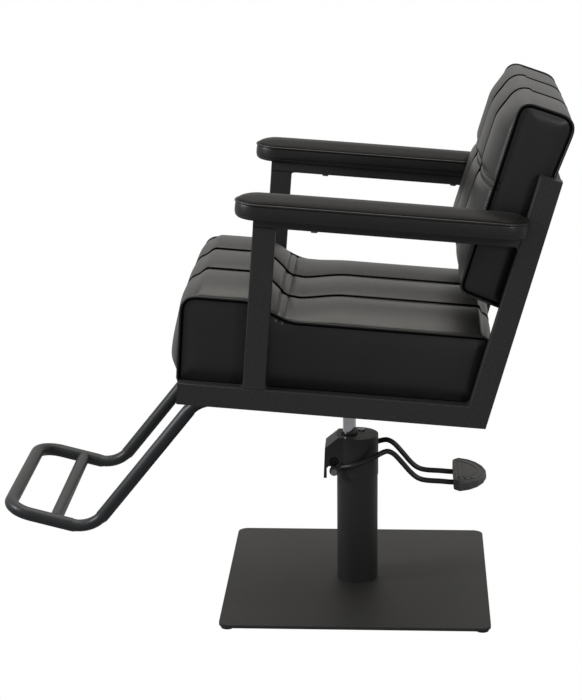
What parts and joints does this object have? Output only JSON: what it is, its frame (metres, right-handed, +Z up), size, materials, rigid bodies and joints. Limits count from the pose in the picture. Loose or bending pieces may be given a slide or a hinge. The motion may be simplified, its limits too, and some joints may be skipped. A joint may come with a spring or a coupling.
{
  "type": "hairdressing chair",
  "caption": "Upholstered salon chair in a rectangular tube frame with a looped footrest, on a hydraulic pump column with a foot lever and a square floor plate.",
  "frame": {"origin": "on the floor, under the middle of the chair's outer box at rest", "axes": "+Z up; the sitter faces -Y, and the sitter's left hand is on the +X side"},
  "size_m": [0.616, 1.0363, 0.979],
  "materials": {
    "plate_coat": "matt black powder coat, slightly warm",
    "column_coat": "satin black powder coat",
    "frame_coat": "fine-textured black powder coat",
    "footrest_coat": "glossy black paint, matt on the top of the bars",
    "rod_coat": "satin black paint",
    "black_steel": "black oxide",
    "steel": "machined",
    "chrome": "hard chrome, polished",
    "casting": "painted casting",
    "bronze": "turned bronze",
    "zinc": "zinc plated",
    "rubber": "black rubber",
    "plywood": "raw plywood",
    "upholstery": "black leatherette, fine grain, soft sheen, dark piping and tone-on-tone stitching"
  },
  "bodies": {
    "base": {"floor_plate": "plate_coat", "floor_feet": "rubber", "column_tube": "column_coat", "column_foot_disc": "zinc", "column_bolts": "zinc", "pump_cylinder": "steel", "pump_head": "casting", "head_cover": "column_coat", "guide_bush": "bronze", "wiper_seal": "rubber", "oil_filler_plug": "zinc", "lever_pivot_pin": "black_steel", "plunger_spring": "zinc"},
    "piston": {"piston_head": "steel", "piston_seal": "rubber"},
    "seat": {"ram": "chrome", "ram_socket": "frame_coat", "seat_bracket": "frame_coat", "bracket_bolts": "zinc", "front_cross_bar": "frame_coat", "footrest_rear_cross_bar": "frame_coat", "bracket_rear_cross_bar": "frame_coat", "rear_cross_bar": "frame_coat", "left_seat_rail": "frame_coat", "right_seat_rail": "frame_coat", "left_front_upright": "frame_coat", "right_front_upright": "frame_coat", "left_arm_rail": "frame_coat", "right_arm_rail": "frame_coat", "left_back_upright": "frame_coat", "right_back_upright": "frame_coat", "top_back_bar": "frame_coat", "low_back_bar": "frame_coat", "frame_end_caps": "frame_coat", "seat_board": "plywood", "seat_board_screws": "zinc", "seat_cushion": "upholstery", "back_board": "plywood", "back_bolts": "zinc", "back_cushion": "upholstery", "left_arm_board": "plywood", "right_arm_board": "plywood", "arm_bolts": "zinc", "left_arm_pad": "upholstery", "right_arm_pad": "upholstery", "footrest_tube": "footrest_coat", "footrest_cross_bar": "footrest_coat", "footrest_bolts": "zinc"},
    "lever": {"lever_rocker": "steel", "lever_cross_shaft": "zinc", "lever_nuts": "zinc", "left_lever_rod": "rod_coat", "right_lever_rod": "rod_coat", "pedal": "casting"},
    "plunger": {"pump_plunger": "zinc"}
  },
  "joints": [
    {"name": "seat_lift", "type": "slide", "parent": "base", "child": "piston", "axis": [0, 0, 1], "range_m": [0, 0.15]},
    {"name": "seat_swivel", "type": "hinge", "parent": "piston", "child": "seat", "pos_m": [0, 0.12262, 0.04], "axis": [0, 0, 1], "continuous": true},
    {"name": "pump_lever", "type": "hinge", "parent": "base", "child": "lever", "pos_m": [0, 0.09432, 0.2527], "axis": [-1, 0, 0], "range_deg": [0, 20], "stiffness_Nm_per_rad": 3.5, "springref_deg": -34.38},
    {"name": "plunger_slide", "type": "slide", "parent": "base", "child": "plunger", "axis": [0, 0, 1], "range_m": [0, 0.003], "deforming": ["plunger_spring"]}
  ],
  "couplings": [
    {"joint": "plunger_slide", "follows": "pump_lever", "m_per_rad": 0.0082}
  ]
}
